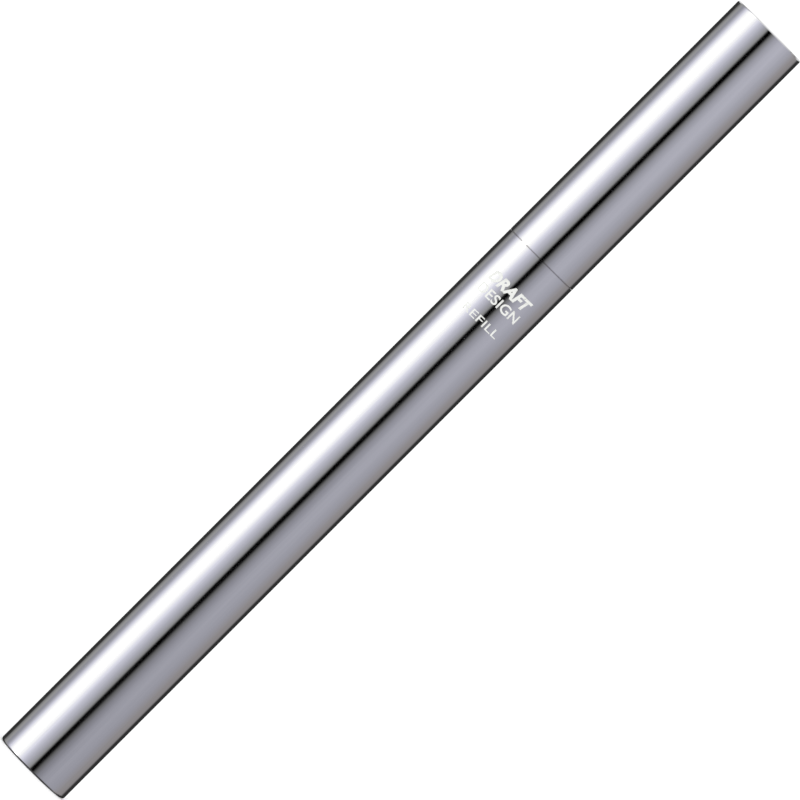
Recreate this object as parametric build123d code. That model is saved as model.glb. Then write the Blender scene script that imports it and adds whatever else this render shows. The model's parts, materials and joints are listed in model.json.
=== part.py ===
from build123d import *
import math
import os

# Refillable drawing pen holder: a plain metal barrel and cap around a slim, replaceable ink refill.
# The pen stands on the flat end of its barrel. Z runs along its axis towards the cap, and the origin
# is the centre of the barrel's flat end. Each function below makes one separate piece.

# ---------------------------------------------------------------- driving dimensions, in millimetres
outer_d = 11.0  # the cap and the barrel make one plain cylinder
total_length = 132.0
cap_length = 40.85
wall = 0.5  # both tubes are drawn to this wall
foot_radius = 0.36  # rounding of the outer rim at the barrel's end
cap_radius = 0.25  # and at the cap's end
seam_chamfer = 0.04  # each side of the hairline where the cap meets the barrel
disc_thickness = 0.8  # the pressed-in discs that close both ends
rim_chamfer = 0.08  # each side of the hairline around those discs

grip_d = 9.0  # the section that the fingers hold, inside the cap at rest
grip_length = 14.8
cone_length = 9.4  # tapered front of the section
nose_d = 4.4  # small end of that taper
groove_count = 8
groove_pitch = 0.95
groove_width = 0.32
groove_depth = 0.12
groove_end = 1.6  # from the groove nearest the cone to where the cone starts
cone_blend_r = 6.0  # soft blend between the grip and the cone
nose_edge_r = 0.15

refill_d = 5.6
refill_wall = 0.4
nib_d = 0.68
nib_point_d = 0.36
nib_point_edge_r = 0.12
nib_sleeve_d = 1.1
sleeve_lip = 0.08  # the sleeve's wall is tapered by this much at its front

thread_pitch = 1.0
thread_turns = 4.4
thread_root_d = 6.9
thread_crest_d = 7.9
ridge_root_width = 0.70
ridge_crest_width = 0.22
thread_clearance = 0.08  # radial and axial play between the ferrule and the bush
thread_lead_in = 0.4  # chamfer at the mouth of the bush
rooted = 0.05  # how deep a ridge's foot is sunk into its core

touch = 0.02  # gap between faces that rest on each other
slide_fit = 0.08  # radial play of the pieces that slide in each other
loose_fit = 0.1  # radial play of the pieces that only have to clear each other
small_chamfer = 0.2
lead_chamfer = 0.3  # on the edges that are pushed into something
beyond = 1.0  # how far a cutting shape runs past the surface it cuts

refill_wire_d = 0.4  # the spring behind the refill
refill_coil_r = 2.15
refill_coils = 8
cup_wire_d = 0.5  # the spring behind the inner cap
cup_coil_r = 3.75
cup_coils = 3.5

# ---------------------------------------------------------------- radii worked out from those
outer_r = outer_d / 2
bore_r = outer_r - wall
grip_r = grip_d / 2
nose_r = nose_d / 2
refill_r = refill_d / 2
refill_bore_r = refill_r - refill_wall
nib_r = nib_d / 2
sleeve_r = nib_sleeve_d / 2

# ---------------------------------------------------------------- heights along the pen
seam = total_length - cap_length  # where the cap's rim meets the barrel's rim
top = total_length

# Barrel: the bush carries the thread for the section, and is set a little way down the tube.
collar_height = 0.8
washer_height = 0.4
bush_length = 6.0
bush_top = seam - collar_height - washer_height
bush_bottom = bush_top - bush_length

# Section: collar, grip and cone.
collar_bottom = seam - collar_height
ferrule_bottom = bush_bottom + 0.6
ferrule_bore_r = refill_r + 0.15
collar_r = bore_r - loose_fit
washer_bore_r = 4.15
ridge_start = bush_bottom + 1.1  # middle of the ferrule's thread ridge where it begins
spigot_r = 3.9
spigot_top = seam + 6.8
grip_top = seam + grip_length
cone_top = grip_top + cone_length
last_groove = grip_top - groove_end
shoulder = grip_top - 1.0  # step inside the section that the refill's flange is pressed against
front_bore_r = 2.3
tip_bore_r = 1.75
tip_step = cone_top - 4.0  # where the bore narrows from front_bore_r to tip_bore_r
guide_bore_r = refill_r + loose_fit

# Refill.
flange_top = shoulder - touch
flange_height = 0.9
tube_top = flange_top - flange_height
tube_bottom = 22.0
nose_plug_length = 4.0
tail_plug_length = 3.6
reservoir_bottom = tube_bottom + tail_plug_length + 0.4
reservoir_top = tube_top - nose_plug_length - 0.4
nose_body_r = front_bore_r - 0.05
nose_front_r = tip_bore_r - 0.05
nose_front_top = cone_top + 1.2
nose_tip_r = 0.78
nose_blend_r = 0.8
nose_top = nose_front_top + 2.2
sleeve_bottom = nose_top - 6.0
sleeve_top = nose_top + 2.3
nib_shoulder = sleeve_top + 0.1
nib_top = nib_shoulder + 0.8
nib_bottom = tube_top - 7.0
tail_head = 1.2
tail_pin_r = 1.5
tail_pin_length = 2.0
vent_r = 0.4

# Closing pieces of the barrel's tail.
tail_plug_top = 8.0
land_height = 1.6  # the two lands of the tail plug that grip the tube
waist_depth = 0.6
guide_top = 26.0
guide_r = 3.8
guide_inner_r = refill_r + 0.2
guide_slots = 3
guide_slot_width = 1.2
guide_slot_bottom = tail_plug_top + 4.0

# Cap: mouth bush, grip ring, liner and top plug, from the rim upwards.
mouth_bottom = seam + 0.5
mouth_height = 1.2
mouth_bore_r = grip_r + 0.12
ring_bottom = mouth_bottom + mouth_height + 0.05
ring_height = 1.0
ring_slot = 2.4
liner_bottom = ring_bottom + ring_height + 0.05
liner_step = seam + 28.8  # ledge that the inner cap's flange comes to rest on
plug_height = 4.2
boss_r = 3.1
boss_height = 0.8
liner_top = top - disc_thickness - plug_height
liner_grip_r = grip_r + slide_fit
liner_neck_r = 4.05
liner_spring_r = 4.4
neck_bottom = grip_top + 3.2
neck_taper = 0.8

# Inner cap: a small cup that shuts over the section's cone and keeps the nib from drying out.
cup_r = liner_neck_r - loose_fit
cup_mouth = grip_top + 5.6
cup_flange_r = liner_spring_r - loose_fit
cup_flange_height = 1.0
cup_flange_bottom = liner_step + touch
cup_flange_top = cup_flange_bottom + cup_flange_height
cup_dome_r = 3.0
cup_dome_top = liner_step + 3.8
cup_bore_r = 2.9
cup_neck_r = 1.9
cup_step = liner_step - 0.5
cup_wall = 0.8
seal_r = 3.5
seal_height = 2.0
seal_gap = 0.03


# ---------------------------------------------------------------- helpers
def turned(outline, rounded=()):
    """Turns a closed outline of (radius, height) points about the pen's axis.

    rounded holds (corner, radius) pairs for the corners that are rounded first."""
    face = make_face(Polyline(*[(r, 0, z) for r, z in outline], close=True))
    for (r, z), radius in rounded:
        corner = face.vertices().sort_by_distance(Vector(r, 0, z))[0]
        face = fillet(corner, radius)
    return revolve(face, axis=Axis.Z)


def rod(radius, bottom, height):
    """A plain round bar."""
    upright = (Align.CENTER, Align.CENTER, Align.MIN)
    return Pos(0, 0, bottom) * Cylinder(radius, height, align=upright)


def ring(outside_r, inside_r, bottom, height):
    """A plain ring with square edges."""
    return rod(outside_r, bottom, height) - rod(inside_r, bottom - beyond, height + 2 * beyond)


def thread_ridge(root_r, crest_r, play, start, turns):
    """The helical ridge of a right-hand thread, as a solid to add to a core.

    play widens the ridge on both flanks, which makes the groove that the ridge runs in."""
    half_root = ridge_root_width / 2 + play
    half_crest = ridge_crest_width / 2 + play
    profile = Polyline(
        (root_r, 0, start - half_root),
        (crest_r, 0, start - half_crest),
        (crest_r, 0, start + half_crest),
        (root_r, 0, start + half_root),
        close=True,
    )
    length = thread_pitch * turns
    path = Helix(pitch=thread_pitch, height=length, radius=root_r, center=(0, 0, start))
    return sweep(make_face(profile), path=path, is_frenet=True)


def coil_spring(mean_r, wire_d, bottom, height, turns):
    """A compression spring with its two ends ground flat."""
    path = Helix(pitch=height / turns, height=height, radius=mean_r, center=(0, 0, bottom))
    wire = Plane(origin=path @ 0, z_dir=path % 0) * Circle(wire_d / 2)
    coil = sweep(wire, path=path, is_frenet=True)
    return coil & ring(mean_r + wire_d, mean_r - wire_d, bottom, height)


def cone_radius(height):
    """Outside radius of the section's cone at a height."""
    return grip_r + (nose_r - grip_r) * (height - grip_top) / cone_length


# ---------------------------------------------------------------- barrel
def barrel_tube():
    """Drawn tube with a rounded foot and a sharp, barely broken rim at the seam."""
    return turned(
        [
            (bore_r + rim_chamfer, 0),
            (outer_r, 0),
            (outer_r, seam - seam_chamfer),
            (outer_r - seam_chamfer, seam),
            (bore_r + seam_chamfer, seam),
            (bore_r, seam - seam_chamfer),
            (bore_r, rim_chamfer),
        ],
        rounded=[((outer_r, 0), foot_radius)],
    )


def barrel_end_disc():
    """Disc that shuts the foot of the barrel, flush with the tube."""
    return turned(
        [
            (0, 0),
            (bore_r - rim_chamfer, 0),
            (bore_r, rim_chamfer),
            (bore_r, disc_thickness),
            (0, disc_thickness),
        ]
    )


def barrel_tail_plug():
    """Moulded plug behind the disc: it seats the refill's spring and guides the refill's tail."""
    waist_r = bore_r - waist_depth
    lower_land_top = disc_thickness + land_height
    upper_land_bottom = tail_plug_top - land_height
    plug = turned(
        [
            (0, disc_thickness),
            (bore_r, disc_thickness),
            (bore_r, lower_land_top),
            (waist_r, lower_land_top + waist_depth),
            (waist_r, upper_land_bottom - waist_depth),
            (bore_r, upper_land_bottom),
            (bore_r, tail_plug_top),
            (guide_r, tail_plug_top + waist_depth),
            (guide_r, guide_top - lead_chamfer),
            (guide_r - lead_chamfer, guide_top),
            (guide_inner_r + lead_chamfer, guide_top),
            (guide_inner_r, guide_top - 2 * lead_chamfer),
            (guide_inner_r, tail_plug_top),
            (0, tail_plug_top),
        ]
    )
    slot_height = guide_top + beyond - guide_slot_bottom
    slot_box = Box(guide_r, guide_slot_width, slot_height)
    slot = Pos(guide_r, 0, guide_slot_bottom + slot_height / 2) * slot_box
    for i in range(guide_slots):
        plug -= Rot(0, 0, i * 360 / guide_slots) * slot
    return plug


def barrel_thread_bush():
    """Bush pressed into the front of the tube, threaded all the way through."""
    minor_r = thread_root_d / 2 + thread_clearance
    major_r = thread_crest_d / 2 + thread_clearance
    below = 3  # whole turns that the groove starts below the ferrule's ridge, so the two are in step
    groove_start = ridge_start - below * thread_pitch
    groove_turns = bush_length / thread_pitch + below
    groove = thread_ridge(minor_r - rooted, major_r, thread_clearance, groove_start, groove_turns)
    core_length = groove_turns * thread_pitch + 2 * beyond
    core = rod(minor_r, groove_start - beyond, core_length)
    lead_in = turned(
        [
            (0, bush_top - thread_lead_in),
            (minor_r, bush_top - thread_lead_in),
            (minor_r + thread_lead_in + beyond, bush_top + beyond),
            (0, bush_top + beyond),
        ]
    )
    return rod(bore_r, bush_bottom, bush_length) - (core + groove) - lead_in


def refill_spring():
    """Light spring in the tail plug that keeps the refill pressed forwards."""
    height = tube_bottom - tail_head - touch - tail_plug_top
    return coil_spring(refill_coil_r, refill_wire_d, tail_plug_top, height, refill_coils)


# ---------------------------------------------------------------- section
def section_washer():
    """Thin washer that the section is tightened against."""
    return ring(collar_r, washer_bore_r, bush_top + touch / 2, washer_height - touch)


def section_ferrule():
    """Threaded ferrule: its spigot is pressed into the grip, and its collar seats on the washer."""
    root_r = thread_root_d / 2
    body = turned(
        [
            (ferrule_bore_r, ferrule_bottom),
            (root_r - small_chamfer, ferrule_bottom),
            (root_r, ferrule_bottom + small_chamfer),
            (root_r, collar_bottom),
            (collar_r, collar_bottom),
            (collar_r, seam - small_chamfer / 2),
            (collar_r - small_chamfer / 2, seam),
            (spigot_r, seam),
            (spigot_r, spigot_top - lead_chamfer),
            (spigot_r - lead_chamfer, spigot_top),
            (ferrule_bore_r + small_chamfer, spigot_top),
            (ferrule_bore_r, spigot_top - small_chamfer),
        ]
    )
    ridge = thread_ridge(root_r - rooted, thread_crest_d / 2, 0, ridge_start, thread_turns)
    return body + ridge


def section_body():
    """Turned grip with fine rings cut in it and a tapered front."""
    body = turned(
        [
            (spigot_r, seam),
            (grip_r - small_chamfer, seam),
            (grip_r, seam + small_chamfer),
            (grip_r, grip_top),
            (nose_r, cone_top),
            (tip_bore_r, cone_top),
            (tip_bore_r, tip_step),
            (front_bore_r, tip_step - (front_bore_r - tip_bore_r)),
            (front_bore_r, shoulder),
            (spigot_r, shoulder),
        ],
        rounded=[((grip_r, grip_top), cone_blend_r), ((nose_r, cone_top), nose_edge_r)],
    )
    bottom_r = grip_r - groove_depth
    for i in range(groove_count):
        bottom = last_groove - i * groove_pitch
        body -= ring(grip_r + beyond, bottom_r, bottom, groove_width)
    return body


def section_guide_bush():
    """Plastic sleeve inside the grip that centres the front of the refill."""
    return turned(
        [
            (guide_bore_r, spigot_top + lead_chamfer),
            (guide_bore_r + lead_chamfer, spigot_top),
            (spigot_r, spigot_top),
            (spigot_r, shoulder),
            (guide_bore_r, shoulder),
        ]
    )


# ---------------------------------------------------------------- refill
def refill_tube():
    """Reservoir tube of the refill."""
    return ring(refill_r, refill_bore_r, tube_bottom, tube_top - tube_bottom)


def ink_reservoir():
    """Fibre rod that holds the ink, bored at its front for the nib."""
    fibre = rod(refill_bore_r - touch, reservoir_bottom, reservoir_top - reservoir_bottom)
    return fibre - rod(nib_r + touch, nib_bottom, reservoir_top + beyond - nib_bottom)


def refill_nose():
    """Moulded front of the refill: a plug in the tube, a flange, and the stepped nose around the nib."""
    plug_bottom = tube_top - nose_plug_length
    taper = nose_body_r - nose_front_r
    return turned(
        [
            (nib_r + touch, plug_bottom),
            (refill_bore_r - lead_chamfer, plug_bottom),
            (refill_bore_r, plug_bottom + lead_chamfer),
            (refill_bore_r, tube_top),
            (refill_r, tube_top),
            (refill_r, flange_top),
            (nose_body_r, flange_top),
            (nose_body_r, tip_step - 2 * taper),
            (nose_front_r, tip_step - taper),
            (nose_front_r, nose_front_top),
            (nose_tip_r, nose_top),
            (sleeve_r, nose_top),
            (sleeve_r, sleeve_bottom),
            (nib_r + touch, sleeve_bottom),
        ],
        rounded=[((nose_front_r, nose_front_top), nose_blend_r)],
    )


def refill_tail_plug():
    """Vented plug in the tail of the refill, with a pin that centres the spring."""
    head_bottom = tube_bottom - tail_head
    pin_bottom = head_bottom - tail_pin_length
    plug_top = tube_bottom + tail_plug_length
    return turned(
        [
            (vent_r, pin_bottom),
            (tail_pin_r - lead_chamfer, pin_bottom),
            (tail_pin_r, pin_bottom + lead_chamfer),
            (tail_pin_r, head_bottom),
            (refill_r, head_bottom),
            (refill_r, tube_bottom),
            (refill_bore_r, tube_bottom),
            (refill_bore_r, plug_top - lead_chamfer),
            (refill_bore_r - lead_chamfer, plug_top),
            (vent_r, plug_top),
        ]
    )


def nib_sleeve():
    """Thin metal sleeve around the fibre nib, which runs along rulers and stencils."""
    return turned(
        [
            (nib_r + touch, sleeve_bottom),
            (sleeve_r, sleeve_bottom),
            (sleeve_r, sleeve_top - 3 * sleeve_lip),
            (sleeve_r - sleeve_lip, sleeve_top),
            (nib_r + touch, sleeve_top),
        ]
    )


def nib():
    """Fibre nib: one long rod from the reservoir to its rounded point."""
    point_r = nib_point_d / 2
    return turned(
        [
            (0, nib_bottom),
            (nib_r, nib_bottom),
            (nib_r, nib_shoulder),
            (point_r, nib_top),
            (0, nib_top),
        ],
        rounded=[((point_r, nib_top), nib_point_edge_r)],
    )


# ---------------------------------------------------------------- cap
def cap_tube():
    """Drawn tube of the cap, the same diameter as the barrel."""
    bottom = seam + touch
    return turned(
        [
            (bore_r, bottom + seam_chamfer),
            (bore_r + seam_chamfer, bottom),
            (outer_r - seam_chamfer, bottom),
            (outer_r, bottom + seam_chamfer),
            (outer_r, top),
            (bore_r + rim_chamfer, top),
            (bore_r, top - rim_chamfer),
        ],
        rounded=[((outer_r, top), cap_radius)],
    )


def cap_end_disc():
    """Disc that shuts the top of the cap, flush with the tube."""
    return turned(
        [
            (0, top - disc_thickness),
            (bore_r, top - disc_thickness),
            (bore_r, top - rim_chamfer),
            (bore_r - rim_chamfer, top),
            (0, top),
        ]
    )


def cap_top_plug():
    """Moulded plug under the disc, with a boss that centres the inner cap's spring."""
    boss_bottom = liner_top - boss_height
    return turned(
        [
            (0, boss_bottom),
            (boss_r - small_chamfer, boss_bottom),
            (boss_r, boss_bottom + small_chamfer),
            (boss_r, liner_top),
            (bore_r, liner_top),
            (bore_r, top - disc_thickness),
            (0, top - disc_thickness),
        ]
    )


def cap_liner():
    """Plastic liner: it slides on the grip, and its upper part houses the inner cap and its spring."""
    return turned(
        [
            (liner_grip_r, liner_bottom),
            (bore_r, liner_bottom),
            (bore_r, liner_top),
            (liner_spring_r, liner_top),
            (liner_spring_r, liner_step),
            (liner_neck_r, liner_step),
            (liner_neck_r, neck_bottom + neck_taper),
            (liner_grip_r, neck_bottom),
        ]
    )


def cap_mouth_bush():
    """Metal bush inside the cap's rim, which keeps the grip ring in place."""
    return turned(
        [
            (mouth_bore_r + small_chamfer, mouth_bottom),
            (bore_r, mouth_bottom),
            (bore_r, mouth_bottom + mouth_height),
            (mouth_bore_r, mouth_bottom + mouth_height),
            (mouth_bore_r, mouth_bottom + small_chamfer),
        ]
    )


def cap_grip_ring():
    """Split spring ring that hugs the grip and holds the cap on."""
    whole = ring(bore_r - loose_fit, grip_r + touch, ring_bottom, ring_height)
    slot_box = Box(ring_slot, bore_r, ring_height + 2 * beyond)
    return whole - Pos(0, bore_r, ring_bottom + ring_height / 2) * slot_box


def inner_cap():
    """Sprung sealing cup, held in the liner by its flange."""
    return turned(
        [
            (seal_r, cup_mouth),
            (cup_r, cup_mouth),
            (cup_r, cup_flange_bottom),
            (cup_flange_r, cup_flange_bottom),
            (cup_flange_r, cup_flange_top),
            (cup_dome_r, cup_flange_top),
            (cup_dome_r, cup_dome_top),
            (0, cup_dome_top),
            (0, cup_dome_top - cup_wall),
            (cup_neck_r, cup_dome_top - cup_wall),
            (cup_neck_r, cup_step),
            (cup_bore_r, cup_step - (cup_bore_r - cup_neck_r)),
            (cup_bore_r, cup_mouth + seal_height),
            (seal_r, cup_mouth + seal_height),
        ],
        rounded=[((cup_dome_r, cup_dome_top), cup_wall)],
    )


def inner_cap_seal():
    """Soft ring in the mouth of the inner cap that shuts on the section's cone."""
    seal_top = cup_mouth + seal_height
    return turned(
        [
            (cone_radius(cup_mouth) + seal_gap, cup_mouth),
            (seal_r, cup_mouth),
            (seal_r, seal_top),
            (cone_radius(seal_top) + seal_gap, seal_top),
        ]
    )


def inner_cap_spring():
    """Spring that presses the inner cap down onto the section's cone."""
    bottom = cup_flange_top + touch
    height = liner_top - touch - bottom
    return coil_spring(cup_coil_r, cup_wire_d, bottom, height, cup_coils)


# ---------------------------------------------------------------- export
pieces = [
    barrel_tube,
    barrel_end_disc,
    barrel_tail_plug,
    barrel_thread_bush,
    refill_spring,
    section_washer,
    section_ferrule,
    section_body,
    section_guide_bush,
    refill_tube,
    ink_reservoir,
    refill_nose,
    refill_tail_plug,
    nib_sleeve,
    nib,
    cap_tube,
    cap_end_disc,
    cap_top_plug,
    cap_liner,
    cap_mouth_bush,
    cap_grip_ring,
    inner_cap,
    inner_cap_seal,
    inner_cap_spring,
]

os.makedirs("parts", exist_ok=True)
for piece in pieces:
    export_step(piece(), f"parts/{piece.__name__}.step")
print(len(pieces), "nodes, thread advances", thread_pitch / (2 * math.pi), "mm per radian")
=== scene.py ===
import json
import math

import bmesh
import bpy
from mathutils import Matrix, Vector

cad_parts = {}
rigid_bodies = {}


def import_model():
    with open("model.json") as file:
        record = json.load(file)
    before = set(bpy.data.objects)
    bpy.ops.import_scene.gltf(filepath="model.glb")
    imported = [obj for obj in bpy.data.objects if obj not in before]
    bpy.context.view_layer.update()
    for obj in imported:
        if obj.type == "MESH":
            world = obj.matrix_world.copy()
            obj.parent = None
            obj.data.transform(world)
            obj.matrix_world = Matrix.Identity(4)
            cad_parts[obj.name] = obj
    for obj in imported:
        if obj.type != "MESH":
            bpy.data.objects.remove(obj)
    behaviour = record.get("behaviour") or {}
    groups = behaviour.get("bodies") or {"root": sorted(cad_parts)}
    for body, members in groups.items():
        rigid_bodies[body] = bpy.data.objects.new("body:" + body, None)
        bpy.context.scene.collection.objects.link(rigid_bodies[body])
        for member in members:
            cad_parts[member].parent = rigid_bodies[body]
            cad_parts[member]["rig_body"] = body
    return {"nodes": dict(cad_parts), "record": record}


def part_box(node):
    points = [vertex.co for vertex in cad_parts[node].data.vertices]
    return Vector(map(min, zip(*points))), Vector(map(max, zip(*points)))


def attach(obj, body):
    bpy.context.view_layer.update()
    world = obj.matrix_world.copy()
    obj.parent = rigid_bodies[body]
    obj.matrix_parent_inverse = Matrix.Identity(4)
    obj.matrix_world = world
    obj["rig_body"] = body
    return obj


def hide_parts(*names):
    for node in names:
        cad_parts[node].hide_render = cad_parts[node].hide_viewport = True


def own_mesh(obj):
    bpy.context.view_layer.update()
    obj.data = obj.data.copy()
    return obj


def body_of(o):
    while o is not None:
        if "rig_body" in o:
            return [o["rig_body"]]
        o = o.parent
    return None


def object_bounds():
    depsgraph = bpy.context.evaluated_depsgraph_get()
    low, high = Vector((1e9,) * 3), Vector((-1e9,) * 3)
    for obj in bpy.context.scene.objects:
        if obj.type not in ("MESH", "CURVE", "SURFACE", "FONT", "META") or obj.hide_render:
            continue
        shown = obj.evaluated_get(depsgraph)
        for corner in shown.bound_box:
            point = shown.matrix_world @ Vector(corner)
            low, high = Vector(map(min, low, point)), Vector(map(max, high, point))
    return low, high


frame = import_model()
cad_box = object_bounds()

# The pen stands on the flat end of its barrel, on the floor at z = 0, with its axis along +Z. The side
# that carries the print faces the camera, which stands in -Y.

MM = 0.001
LOWEST, HIGHEST = cad_box
PEN_LENGTH = HIGHEST.z - LOWEST.z
PEN_RADIUS = (HIGHEST.x - LOWEST.x) / 2
SEAM_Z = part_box("barrel_tube")[1].z  # where the cap's rim meets the barrel's rim

# ---------------------------------------------------------------- camera and stage
CAMERA_DISTANCE = 1.6
CAMERA_RISE = 39 * MM  # how far above the pen's middle it stands
CAMERA_ROLL = math.radians(45)  # the pen lies along the picture's diagonal, with its cap at the upper right
PICTURE_WIDTH = PEN_LENGTH / 1.3056  # metres of the object's plane that the frame takes in
AIM = Vector((-0.06 * MM, 0, -0.02 * MM))  # from the middle of the pen to what the camera looks at
SENSOR_WIDTH = 36.0  # millimetres
FLOOR_SIZE = 8.0
FLOOR_GLOW = 0.1  # a little light of its own, so that no grey shade shows below the pen


def make_camera():
    """A long lens, level with the lower half of the cap, aimed at the pen's middle and rolled."""
    data = bpy.data.cameras.new("camera")
    data.sensor_width = SENSOR_WIDTH
    data.lens = SENSOR_WIDTH * CAMERA_DISTANCE / PICTURE_WIDTH
    data.clip_end = 100.0
    camera = bpy.data.objects.new("camera", data)
    bpy.context.scene.collection.objects.link(camera)
    down = math.atan2(CAMERA_RISE, CAMERA_DISTANCE)
    facing = Matrix.Rotation(math.radians(90) - down, 4, "X")
    roll = Matrix.Rotation(CAMERA_ROLL, 4, "Z")
    place = Vector((0, -CAMERA_DISTANCE, (LOWEST.z + HIGHEST.z) / 2 + CAMERA_RISE)) + AIM
    camera.matrix_world = Matrix.Translation(place) @ facing @ roll
    bpy.context.scene.camera = camera


def make_floor():
    """A plain white floor. The metal doesn't mirror it: it mirrors the studio all the way round."""
    mesh = bpy.data.meshes.new("floor")
    half = FLOOR_SIZE / 2
    corners = [(-half, -half, 0), (half, -half, 0), (half, half, 0), (-half, half, 0)]
    mesh.from_pydata(corners, [], [(0, 1, 2, 3)])
    floor = bpy.data.objects.new("floor", mesh)
    bpy.context.scene.collection.objects.link(floor)
    floor.visible_glossy = False
    paint = bpy.data.materials.new("floor_white")
    paint.use_nodes = True
    shader = paint.node_tree.nodes["Principled BSDF"]
    shader.inputs["Base Color"].default_value = (0.95, 0.95, 0.95, 1)
    shader.inputs["Roughness"].default_value = 1.0
    shader.inputs["Specular IOR Level"].default_value = 0.0
    shader.inputs["Emission Color"].default_value = (1, 1, 1, 1)
    shader.inputs["Emission Strength"].default_value = FLOOR_GLOW
    mesh.materials.append(paint)


# ---------------------------------------------------------------- nodes
def feed(tree, socket, value):
    """Links an output to the socket, or sets the socket to a number, a vector or a color."""
    if isinstance(value, bpy.types.NodeSocket):
        tree.links.new(value, socket)
    else:
        socket.default_value = value


def math_node(tree, operation, first, second=0.0, clamp=False):
    node = tree.nodes.new("ShaderNodeMath")
    node.operation = operation
    node.use_clamp = clamp
    feed(tree, node.inputs[0], first)
    feed(tree, node.inputs[1], second)
    return node.outputs["Value"]


def range_node(tree, value, start, stop, low, high, smooth=False):
    """A value that runs from low to high as the given one runs from start to stop."""
    node = tree.nodes.new("ShaderNodeMapRange")
    if smooth:
        node.interpolation_type = "SMOOTHSTEP"
    tree.links.new(value, node.inputs["Value"])
    limits = {"From Min": start, "From Max": stop, "To Min": low, "To Max": high}
    for name, limit in limits.items():
        node.inputs[name].default_value = limit
    return node.outputs["Result"]


def mix_node(tree, factor, first, second):
    """A color that runs from the first to the second as the factor runs from 0 to 1."""
    node = tree.nodes.new("ShaderNodeMix")
    node.data_type = "RGBA"
    tree.links.new(factor, node.inputs["Factor"])
    for name, color in (("A", first), ("B", second)):
        if not isinstance(color, bpy.types.NodeSocket):
            color = (*color, 1)
        feed(tree, node.inputs[name], color)
    return node.outputs["Result"]


# ---------------------------------------------------------------- studio
# What the metal mirrors, by direction round the pen: 0 degrees is behind the camera, 90 to the camera's
# right and 180 behind the pen. A large soft light stands at the left, a grey wall at the right, and black
# flags right behind the camera and beside the white backdrop draw the pen's dark lines. Each stop is
# (degrees, brightness, tint), from behind the pen round by the left to behind it again.
NEUTRAL = (1.0, 1.0, 1.0)
LILAC = (1.0, 1.0, 1.14)
WARM = (1.06, 1.0, 1.02)
STUDIO_STOPS = [
    (-180, 0.90, NEUTRAL),
    (-176, 0.80, NEUTRAL),
    (-172, 0.03, NEUTRAL),
    (-139, 0.03, NEUTRAL),
    (-129, 0.24, NEUTRAL),
    (-119, 0.33, NEUTRAL),
    (-111, 0.29, LILAC),
    (-104, 0.37, LILAC),
    (-92, 0.74, LILAC),
    (-84, 1.02, NEUTRAL),
    (-77, 1.12, NEUTRAL),
    (-71, 2.40, NEUTRAL),
    (-62, 2.40, NEUTRAL),
    (-56, 1.12, NEUTRAL),
    (-49, 1.01, NEUTRAL),
    (-40, 0.76, LILAC),
    (-30, 0.56, LILAC),
    (-20, 0.43, LILAC),
    (-7, 0.28, NEUTRAL),
    (-2, 0.0, NEUTRAL),
    (6, 0.0, NEUTRAL),
    (13, 0.155, NEUTRAL),
    (24, 0.285, LILAC),
    (40, 0.39, LILAC),
    (57, 0.42, LILAC),
    (85, 0.355, LILAC),
    (111, 0.28, WARM),
    (129, 0.25, WARM),
    (139, 0.03, NEUTRAL),
    (172, 0.03, NEUTRAL),
    (176, 0.80, NEUTRAL),
    (180, 0.90, NEUTRAL),
]
WALL_RISE = 5.5  # how much brighter the right-hand wall gets for each unit of the direction's rise
RISE_LEVEL = -0.0244  # the rise of what the middle of the pen mirrors to the camera
RISE_LIMIT = 0.045
NEAR_OFFSET = 0.35  # the wall's rise counts in full towards the camera, and fades out behind the pen:
NEAR_SLOPE = 0.65  # its share is NEAR_OFFSET less NEAR_SLOPE for each unit of the direction's Y
SIDE_EDGE = 5.0  # how steeply the right side and the part behind the pen begin, for each unit of X or Y
BACKDROP_START = 0.6  # the direction's Y from which the flags beside the backdrop have a top
FLAG_TOP = (5, 14)  # degrees of elevation between which those flags give way to the ceiling
CEILING = (25, 60)  # degrees of elevation between which all strips give way to it
GROUND = (31, 48)  # degrees below the horizon between which the strips give way to the dark
ZENITH = 0.75  # brightness of the ceiling
NADIR = 0.05  # brightness straight below
DAYLIGHT = 1.1  # even white light on everything that isn't a mirror


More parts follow.
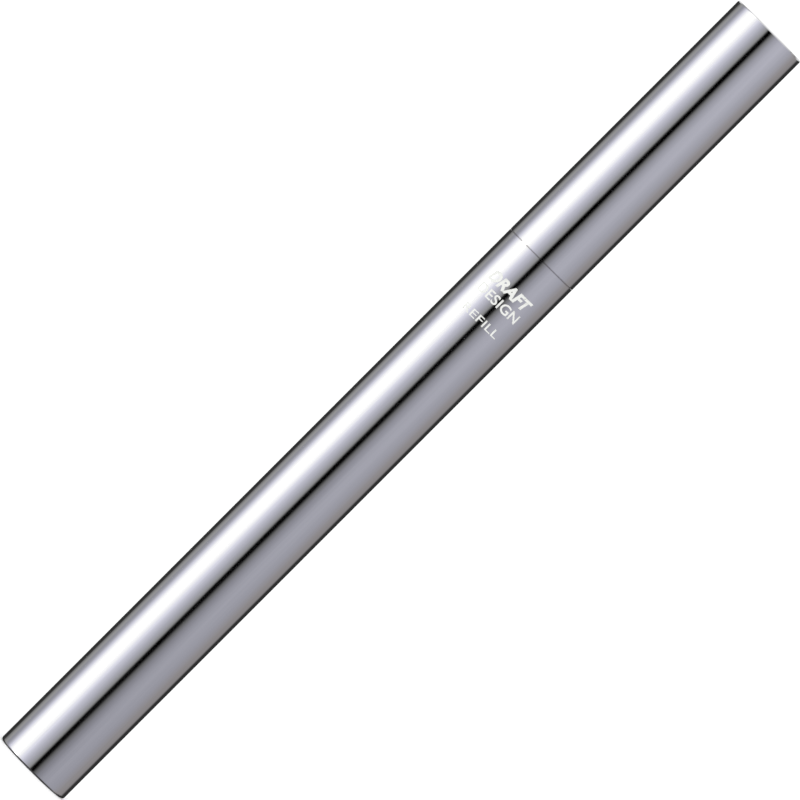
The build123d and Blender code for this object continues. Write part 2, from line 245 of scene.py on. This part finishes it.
def make_studio():
    """White for the eye and for soft light, and a room of soft strips for the mirroring metal."""
    world = bpy.data.worlds.new("studio")
    bpy.context.scene.world = world
    world.use_nodes = True
    world.cycles.sampling_method = "NONE"
    tree = world.node_tree
    nodes, links = tree.nodes, tree.links
    nodes.clear()

    direction = nodes.new("ShaderNodeTexCoord").outputs["Generated"]
    split = nodes.new("ShaderNodeSeparateXYZ")
    links.new(direction, split.inputs["Vector"])
    x, y, z = split.outputs
    azimuth = math_node(tree, "ARCTAN2", x, math_node(tree, "MULTIPLY", y, -1.0))
    along = math_node(tree, "MULTIPLY_ADD", azimuth, 1 / (2 * math.pi))
    along.node.inputs[2].default_value = 0.5

    ramp = nodes.new("ShaderNodeValToRGB")
    ramp.color_ramp.interpolation = "LINEAR"
    elements = ramp.color_ramp.elements
    while len(elements) > 1:
        elements.remove(elements[-1])
    for number, (degrees, level, tint) in enumerate(STUDIO_STOPS):
        place = degrees / 360 + 0.5
        stop = elements[0] if number == 0 else elements.new(place)
        stop.position = place
        stop.color = (*(level * part for part in tint), 1)
    links.new(along, ramp.inputs["Fac"])

    def above(height, angles):
        """Goes from 0 to 1 between two elevations, in degrees."""
        start, stop = (math.sin(math.radians(angle)) for angle in angles)
        return range_node(tree, height, start, stop, 0.0, 1.0, smooth=True)

    rise = math_node(tree, "SUBTRACT", z, RISE_LEVEL)
    rise = math_node(tree, "MINIMUM", math_node(tree, "MAXIMUM", rise, -RISE_LIMIT), RISE_LIMIT)
    right_side = math_node(tree, "MULTIPLY", x, SIDE_EDGE, clamp=True)
    away = math_node(tree, "MULTIPLY", y, NEAR_SLOPE)
    near_side = math_node(tree, "SUBTRACT", NEAR_OFFSET, away, clamp=True)
    wall = math_node(tree, "MULTIPLY", math_node(tree, "MULTIPLY", right_side, near_side), WALL_RISE)
    brighter = math_node(tree, "ADD", math_node(tree, "MULTIPLY", wall, rise), 1.0)
    strip = nodes.new("ShaderNodeVectorMath")
    strip.operation = "SCALE"
    links.new(ramp.outputs["Color"], strip.inputs["Vector"])
    links.new(brighter, strip.inputs["Scale"])

    past_flags = math_node(tree, "SUBTRACT", y, BACKDROP_START)
    behind = math_node(tree, "MULTIPLY", past_flags, SIDE_EDGE, clamp=True)
    over_flags = math_node(tree, "MULTIPLY", above(z, FLAG_TOP), behind)
    ceiling = math_node(tree, "MAXIMUM", above(z, CEILING), over_flags)
    room = mix_node(tree, ceiling, strip.outputs["Vector"], (ZENITH, ZENITH, ZENITH))
    below = math_node(tree, "MULTIPLY", z, -1.0)
    room = mix_node(tree, above(below, GROUND), room, (NADIR, NADIR, NADIR))

    strips = nodes.new("ShaderNodeBackground")
    links.new(room, strips.inputs["Color"])
    white = nodes.new("ShaderNodeBackground")
    white.inputs["Color"].default_value = (1, 1, 1, 1)
    white.inputs["Strength"].default_value = DAYLIGHT
    path = nodes.new("ShaderNodeLightPath")
    mix = nodes.new("ShaderNodeMixShader")
    output = nodes.new("ShaderNodeOutputWorld")
    links.new(path.outputs["Is Glossy Ray"], mix.inputs["Fac"])
    links.new(white.outputs["Background"], mix.inputs[1])
    links.new(strips.outputs["Background"], mix.inputs[2])
    links.new(mix.outputs["Shader"], output.inputs["Surface"])
    bpy.context.scene.view_settings.view_transform = "Standard"


# ---------------------------------------------------------------- materials
SEAM_SHADE = 0.18  # millimetres from the seam over which the painted shade in its hairline fades out
# colour of the painted shade that darkens the metal in the seam's hairline
SEAM_SHADE_COLOR = (0.66, 0.65, 0.65)
DARK_GRAIN = 0.86  # brightness of the dark part of steel's grain, as a share of the rest


class Finish:
    """A Principled material, with short names for building its nodes."""

    def __init__(self, name, color, roughness, metallic=0.0):
        self.material = bpy.data.materials.new(name)
        self.material.use_nodes = True
        self.tree = self.material.node_tree
        self.shader = self.tree.nodes["Principled BSDF"]
        self.set("Base Color", (*color, 1))
        self.set("Roughness", roughness)
        self.set("Metallic", metallic)

    def set(self, socket, value):
        self.shader.inputs[socket].default_value = value

    def link(self, source, target):
        self.tree.links.new(source, target)

    def node(self, kind, **inputs):
        """A node, with each named input set to a value or linked to another node's output."""
        node = self.tree.nodes.new(kind)
        for name, value in inputs.items():
            feed(self.tree, node.inputs[name], value)
        return node

    def math(self, operation, first, second=0.0):
        return math_node(self.tree, operation, first, second)

    def place(self):
        """The point on the piece, in millimetres, as x, y and z."""
        split = self.node("ShaderNodeSeparateXYZ", Vector=self.object_point())
        return [self.math("MULTIPLY", axis, 1 / MM) for axis in split.outputs]

    def object_point(self):
        return self.tree.nodes.new("ShaderNodeTexCoord").outputs["Object"]

    def stretched(self, across, along):
        """Coordinates in which a noise is stretched along the pen: across and along are per millimetre."""
        mapping = self.node("ShaderNodeMapping", Vector=self.object_point())
        mapping.inputs["Scale"].default_value = (across / MM, across / MM, along / MM)
        return mapping.outputs["Vector"]

    def round_the_axis(self, radial, along, turning):
        """Coordinates in which a noise makes rings round the pen's axis, as a lathe leaves them."""
        x, y, z = self.place()
        radius_squared = self.math("ADD", self.math("MULTIPLY", x, x), self.math("MULTIPLY", y, y))
        radius = self.math("SQRT", radius_squared)
        angle = self.math("ARCTAN2", x, y)
        ring = self.node(
            "ShaderNodeCombineXYZ",
            X=self.math("MULTIPLY", radius, radial),
            Y=self.math("MULTIPLY", z, along),
            Z=self.math("MULTIPLY", self.math("SINE", angle), turning),
        )
        return ring.outputs["Vector"]

    def noise(self, vector, detail=3.0, roughness=0.5):
        node = self.node(
            "ShaderNodeTexNoise", Vector=vector, Scale=1.0, Detail=detail, Roughness=roughness
        )
        return node.outputs["Fac"]

    def between(self, value, low, high, start=0.3, stop=0.7):
        """A value that runs from low to high. A noise stays mostly between 0.3 and 0.7."""
        return range_node(self.tree, value, start, stop, low, high)

    def mixed(self, value, first, second):
        """A color that runs from the first to the second as the value runs from 0 to 1."""
        return mix_node(self.tree, value, first, second)

    def base(self, color):
        self.link(color, self.shader.inputs["Base Color"])

    def two_colors(self, value, first, second):
        self.base(self.mixed(value, first, second))

    def rough(self, value):
        self.link(value, self.shader.inputs["Roughness"])

    def bump(self, height, depth_mm):
        """Bumps of a depth in millimetres."""
        node = self.node("ShaderNodeBump", Height=height, Strength=1.0, Distance=depth_mm * MM)
        self.link(node.outputs["Normal"], self.shader.inputs["Normal"])


def polished_metal():
    """Drawn tube, polished: hair-fine lines along it, a trace of haze, and painted shade in the seam's
    hairline.
    """
    finish = Finish("polished_metal", (0.90, 0.90, 0.91), 0.08, metallic=1.0)
    lines = finish.noise(finish.stretched(across=9.0, along=0.05), detail=4.0)
    haze = finish.noise(finish.stretched(across=0.25, along=0.12), detail=3.0)
    bright = finish.mixed(finish.between(lines, 0.0, 1.0), (0.88, 0.88, 0.89), (0.92, 0.92, 0.93))
    z = finish.place()[2]
    # painted shade: the metal is darkened towards the seam, so that its hairline shows dark
    from_seam = finish.math("ABSOLUTE", finish.math("SUBTRACT", z, SEAM_Z / MM))
    seam_shade = finish.between(from_seam, 1.0, 0.0, start=0.0, stop=SEAM_SHADE)
    finish.base(finish.mixed(seam_shade, bright, SEAM_SHADE_COLOR))
    drawn = finish.between(lines, 0.06, 0.10)
    finish.rough(finish.math("ADD", drawn, finish.between(haze, 0.0, 0.02)))
    finish.bump(lines, 0.0002)
    return finish.material


def turned_metal():
    """Lathe-turned aluminium: fine rings round the axis."""
    finish = Finish("turned_metal", (0.80, 0.80, 0.82), 0.22, metallic=1.0)
    turned = finish.round_the_axis(radial=18.0, along=18.0, turning=0.15)
    rings = finish.noise(turned, detail=4.0, roughness=0.7)
    finish.two_colors(finish.between(rings, 0.0, 1.0), (0.74, 0.74, 0.76), (0.86, 0.86, 0.87))
    finish.rough(finish.between(rings, 0.17, 0.27))
    finish.bump(rings, 0.0025)
    return finish.material


def brass():
    """Turned brass, a little dulled in patches."""
    finish = Finish("brass", (0.78, 0.60, 0.30), 0.2, metallic=1.0)
    turned = finish.round_the_axis(radial=14.0, along=14.0, turning=0.2)
    rings = finish.noise(turned, detail=3.0, roughness=0.6)
    patches = finish.noise(finish.stretched(across=0.6, along=0.6), detail=4.0)
    finish.two_colors(finish.between(patches, 0.0, 1.0), (0.83, 0.66, 0.34), (0.70, 0.52, 0.25))
    finish.rough(finish.between(patches, 0.16, 0.34))
    finish.bump(rings, 0.002)
    return finish.material


def steel(name, color, low, high):
    """Steel with a fine drawn grain. low and high are the limits of its roughness."""
    finish = Finish(name, color, (low + high) / 2, metallic=1.0)
    grain = finish.noise(finish.stretched(across=7.0, along=1.2), detail=4.0)
    dark = tuple(DARK_GRAIN * part for part in color)
    finish.two_colors(finish.between(grain, 0.0, 1.0), dark, color)
    finish.rough(finish.between(grain, low, high))
    finish.bump(grain, 0.0015)
    return finish.material


def plastic(name, color, shade, low, high, grain_mm, depth_mm):
    """Moulded plastic with a fine texture. color and shade are its two close tones, and low and high are the
    limits of its roughness."""
    finish = Finish(name, color, (low + high) / 2)
    grain = finish.noise(finish.stretched(across=1 / grain_mm, along=1 / grain_mm), detail=3.0)
    clouds = finish.noise(finish.stretched(across=0.35, along=0.2), detail=2.0)
    finish.two_colors(finish.between(clouds, 0.0, 1.0), color, shade)
    finish.rough(finish.between(grain, low, high))
    finish.bump(grain, depth_mm)
    return finish.material


def rubber():
    """Soft black rubber with a dusty bloom."""
    finish = Finish("seal_rubber", (0.03, 0.03, 0.03), 0.7)
    bloom = finish.noise(finish.stretched(across=1.6, along=1.6), detail=5.0, roughness=0.65)
    finish.two_colors(finish.between(bloom, 0.0, 1.0), (0.022, 0.022, 0.023), (0.06, 0.06, 0.062))
    finish.rough(finish.between(bloom, 0.6, 0.85))
    finish.bump(bloom, 0.01)
    return finish.material


def fibre(name, color, shade):
    """A bundle of fine fibres that run along the pen, soaked with ink."""
    finish = Finish(name, color, 0.75)
    strands = finish.noise(finish.stretched(across=16.0, along=0.7), detail=3.0, roughness=0.7)
    finish.two_colors(finish.between(strands, 0.0, 1.0), color, shade)
    finish.rough(finish.between(strands, 0.6, 0.9))
    finish.bump(strands, 0.02)
    return finish.material


def ink(name, color, shade):
    """Screen-printed ink: slightly uneven cover and a dry, fine-grained surface."""
    finish = Finish(name, color, 0.55)
    cover = finish.noise(finish.stretched(across=12.0, along=12.0), detail=4.0)
    finish.two_colors(finish.between(cover, 0.0, 1.0), color, shade)
    finish.rough(finish.between(cover, 0.45, 0.65))
    finish.bump(cover, 0.003)
    return finish.material


def make_materials():
    """One material for each of the record's slots."""
    return {
        "polished_metal": polished_metal(),
        "turned_metal": turned_metal(),
        "brass": brass(),
        "spring_steel": steel("spring_steel", (0.66, 0.66, 0.68), low=0.18, high=0.30),
        "bright_steel": steel("bright_steel", (0.78, 0.78, 0.80), low=0.10, high=0.18),
        "black_plastic": plastic(
            "black_plastic", (0.020, 0.020, 0.022), (0.026, 0.026, 0.028),
            low=0.38, high=0.52, grain_mm=0.12, depth_mm=0.012,
        ),
        "gloss_black_plastic": plastic(
            "gloss_black_plastic", (0.012, 0.012, 0.013), (0.016, 0.016, 0.018),
            low=0.14, high=0.22, grain_mm=0.5, depth_mm=0.004,
        ),
        "white_plastic": plastic(
            "white_plastic", (0.80, 0.80, 0.78), (0.75, 0.75, 0.73),
            low=0.28, high=0.40, grain_mm=0.2, depth_mm=0.008,
        ),
        "seal_rubber": rubber(),
        "ink_fibre": fibre("ink_fibre", (0.010, 0.010, 0.014), (0.05, 0.05, 0.06)),
        "nib_fibre": fibre("nib_fibre", (0.012, 0.012, 0.014), (0.06, 0.06, 0.065)),
    }


def dress_nodes(materials):
    """Gives each CAD node the material of its slot in the record."""
    slots = {part["node"]: part["material_slot"] for part in frame["record"]["subparts"]}
    for name, node in frame["nodes"].items():
        for slot in node.material_slots:
            slot.material = materials[slots[name]]


# ---------------------------------------------------------------- springs
def working_spring(node):
    """A copy of a CAD spring, which is rigid, on the spring's body, shown in place of the hidden CAD node.
    """
    rigid = frame["nodes"][node]
    coil = bpy.data.objects.new(node + "_coil", rigid.data.copy())
    bpy.context.scene.collection.objects.link(coil)
    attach(coil, body_of(rigid)[0])
    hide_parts(node)
    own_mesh(coil)


# ---------------------------------------------------------------- print
SLICE = 0.12 * MM  # width of the strips that the flat letters are cut into before they are wrapped
PRINT_LIFT = 0.006 * MM  # how far the print stands proud
PRINT_ROOT = 0.014 * MM  # how deep the print's underside lies in the surface it is on
PRINT_TURN = math.radians(0.8)  # how far the lines are turned to the right of the middle


def flat_letters(text, height, width, slant, weight):
    """A mesh of the words, lying flat, as tall and as wide as asked, centred on the origin."""
    curve = bpy.data.curves.new("letters", "FONT")
    curve.body = text
    curve.align_x = "CENTER"
    curve.align_y = "CENTER"
    curve.shear = slant
    curve.offset = weight
    curve.resolution_u = 6
    holder = bpy.data.objects.new("letters", curve)
    bpy.context.scene.collection.objects.link(holder)
    bpy.context.view_layer.update()
    mesh = bpy.data.meshes.new_from_object(holder.evaluated_get(bpy.context.evaluated_depsgraph_get()))
    bpy.data.objects.remove(holder)
    bm = bmesh.new()
    bm.from_mesh(mesh)
    bpy.data.meshes.remove(mesh)
    bmesh.ops.remove_doubles(bm, verts=bm.verts, dist=1e-5)
    low = Vector(min(v.co[axis] for v in bm.verts) for axis in range(3))
    high = Vector(max(v.co[axis] for v in bm.verts) for axis in range(3))
    scale = Vector((width / (high.x - low.x), height / (high.y - low.y), 1))
    for vert in bm.verts:
        vert.co = (vert.co - (low + high) / 2) * scale
    return bm


def print_line(name, text, z, height, width, slant, weight, material):
    """One line of print wrapped round the barrel, reading from left to right when seen from -Y."""
    bm = flat_letters(text, height, width, slant, weight)
    for number in range(1, int(width / SLICE)):
        cut = -width / 2 + number * SLICE
        geometry = bm.verts[:] + bm.edges[:] + bm.faces[:]
        bmesh.ops.bisect_plane(bm, geom=geometry, plane_co=(cut, 0, 0), plane_no=(1, 0, 0))
    front = bm.faces[:]
    raised = bmesh.ops.extrude_face_region(bm, geom=front)
    top = {element for element in raised["geom"] if isinstance(element, bmesh.types.BMVert)}
    for vert in bm.verts:
        radius = PEN_RADIUS + (PRINT_LIFT if vert in top else -PRINT_ROOT)
        angle = vert.co.x / PEN_RADIUS + PRINT_TURN
        vert.co = Vector((radius * math.sin(angle), -radius * math.cos(angle), z + vert.co.y))
    bmesh.ops.recalc_face_normals(bm, faces=bm.faces)
    mesh = bpy.data.meshes.new(name)
    bm.to_mesh(mesh)
    bm.free()
    mesh.materials.append(material)
    piece = bpy.data.objects.new(name, mesh)
    bpy.context.scene.collection.objects.link(piece)
    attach(piece, "barrel")


def make_print():
    """Three short lines of white print under the seam."""
    white = ink("white_print", (0.82, 0.83, 0.80), (0.78, 0.79, 0.76))
    # name, words, millimetres below the seam, height and width in millimetres, slant, added weight
    lines = [
        ("print_top", "DRAFT", 5.52, 1.64, 7.1, 0.22, 0.045),
        ("print_middle", "DESIGN", 7.61, 1.38, 6.95, 0.0, 0.016),
        ("print_bottom", "REFILL", 10.75, 1.05, 6.1, 0.0, 0.006),
    ]
    for name, text, below_seam, height, width, slant, weight in lines:
        print_line(name, text, SEAM_Z - below_seam * MM, height * MM, width * MM, slant, weight, white)


make_camera()
make_floor()
make_studio()
dress_nodes(make_materials())
working_spring("refill_spring")
working_spring("inner_cap_spring")
make_print()
